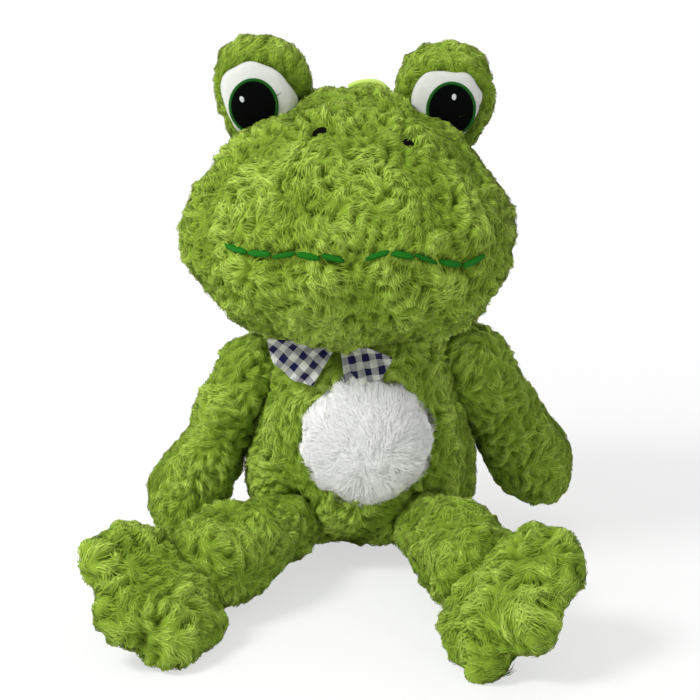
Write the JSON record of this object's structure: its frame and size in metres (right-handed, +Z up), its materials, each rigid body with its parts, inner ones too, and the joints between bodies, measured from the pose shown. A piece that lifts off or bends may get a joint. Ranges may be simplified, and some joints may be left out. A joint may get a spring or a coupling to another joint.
{
  "type": "plush frog",
  "caption": "Seated stuffed plush frog with embroidered eyes and mouth, white belly patch, gingham bow, and arms, legs, feet and head that swing at their seams.",
  "frame": {"origin": "middle of the flat that the torso sits on, on the floor", "axes": "+Z up, -Y the way the frog faces, +X to the frog's own left"},
  "size_m": [0.3223, 0.3078, 0.351],
  "materials": {
    "green_pile": "curly long-pile plush, yellow-green, matt, swirled into small clumps",
    "white_pile": "long straight white pile, matt",
    "white_felt": "short-pile white fleece, matt",
    "green_thread": "satin-stitched dark green embroidery thread, soft sheen",
    "dark_thread": "satin-stitched olive-black embroidery thread",
    "black_thread": "satin-stitched black embroidery thread, soft sheen",
    "white_thread": "white embroidery thread",
    "gingham_cotton": "navy and white gingham cotton, 5 mm checks, plain weave",
    "lime_ribbon": "smooth lime satin ribbon",
    "backing_cloth": "plain woven backing cloth, hidden between torso and head"
  },
  "bodies": {
    "torso": {"torso": "green_pile", "belly_patch": "white_pile", "bow_knot": "gingham_cotton", "left_bow_wing": "gingham_cotton", "right_bow_wing": "gingham_cotton"},
    "neck": {"neck_disc": "backing_cloth"},
    "head": {"head": "green_pile", "hanging_loop": "lime_ribbon", "left_eye_dome": "green_pile", "left_eye_white": "white_felt", "left_iris_ring": "green_thread", "left_pupil": "black_thread", "left_eye_highlight": "white_thread", "left_nostril": "dark_thread", "left_mouth_stitches": "green_thread", "right_eye_dome": "green_pile", "right_eye_white": "white_felt", "right_iris_ring": "green_thread", "right_pupil": "black_thread", "right_eye_highlight": "white_thread", "right_nostril": "dark_thread", "right_mouth_stitches": "green_thread"},
    "left_arm": {"left_arm": "green_pile"},
    "right_arm": {"right_arm": "green_pile"},
    "left_leg": {"left_leg": "green_pile"},
    "right_leg": {"right_leg": "green_pile"},
    "left_foot": {"left_foot": "green_pile"},
    "right_foot": {"right_foot": "green_pile"}
  },
  "joints": [
    {"name": "neck_turn", "type": "hinge", "parent": "torso", "child": "neck", "pos_m": [0, -0.0238, 0.118], "axis": [0, 0, 1], "range_deg": [-35, 35], "stiffness_Nm_per_rad": 0.8},
    {"name": "neck_nod", "type": "hinge", "parent": "neck", "child": "head", "pos_m": [0, -0.0238, 0.118], "axis": [1, 0, 0], "range_deg": [-20, 2], "stiffness_Nm_per_rad": 1.6},
    {"name": "left_shoulder", "type": "hinge", "parent": "torso", "child": "left_arm", "pos_m": [0.06148, -0.0238, 0.11985], "axis": [0.9063, 0, 0.4226], "range_deg": [-60, 10], "stiffness_Nm_per_rad": 0.25},
    {"name": "right_shoulder", "type": "hinge", "parent": "torso", "child": "right_arm", "pos_m": [-0.06148, -0.0238, 0.11985], "axis": [0.9063, 0, -0.4226], "range_deg": [-28, 35], "stiffness_Nm_per_rad": 0.25},
    {"name": "left_hip", "type": "hinge", "parent": "torso", "child": "left_leg", "pos_m": [0.043, -0.07933, 0.034], "axis": [-0.9744, -0.225, 0], "range_deg": [0, 35], "stiffness_Nm_per_rad": 1.5},
    {"name": "right_hip", "type": "hinge", "parent": "torso", "child": "right_leg", "pos_m": [-0.049, -0.07525, 0.034], "axis": [-0.8387, 0.5446, 0], "range_deg": [0, 35], "stiffness_Nm_per_rad": 1.5},
    {"name": "left_ankle", "type": "hinge", "parent": "left_leg", "child": "left_foot", "pos_m": [0.06366, -0.16881, 0.03952], "axis": [-0.655, -0.26, -0.7095], "range_deg": [-8, 25], "stiffness_Nm_per_rad": 0.5},
    {"name": "right_ankle", "type": "hinge", "parent": "right_leg", "child": "right_foot", "pos_m": [-0.0991, -0.1524, 0.0352], "axis": [-0.6798, 0.3928, 0.6194], "range_deg": [-8, 25], "stiffness_Nm_per_rad": 0.5}
  ]
}
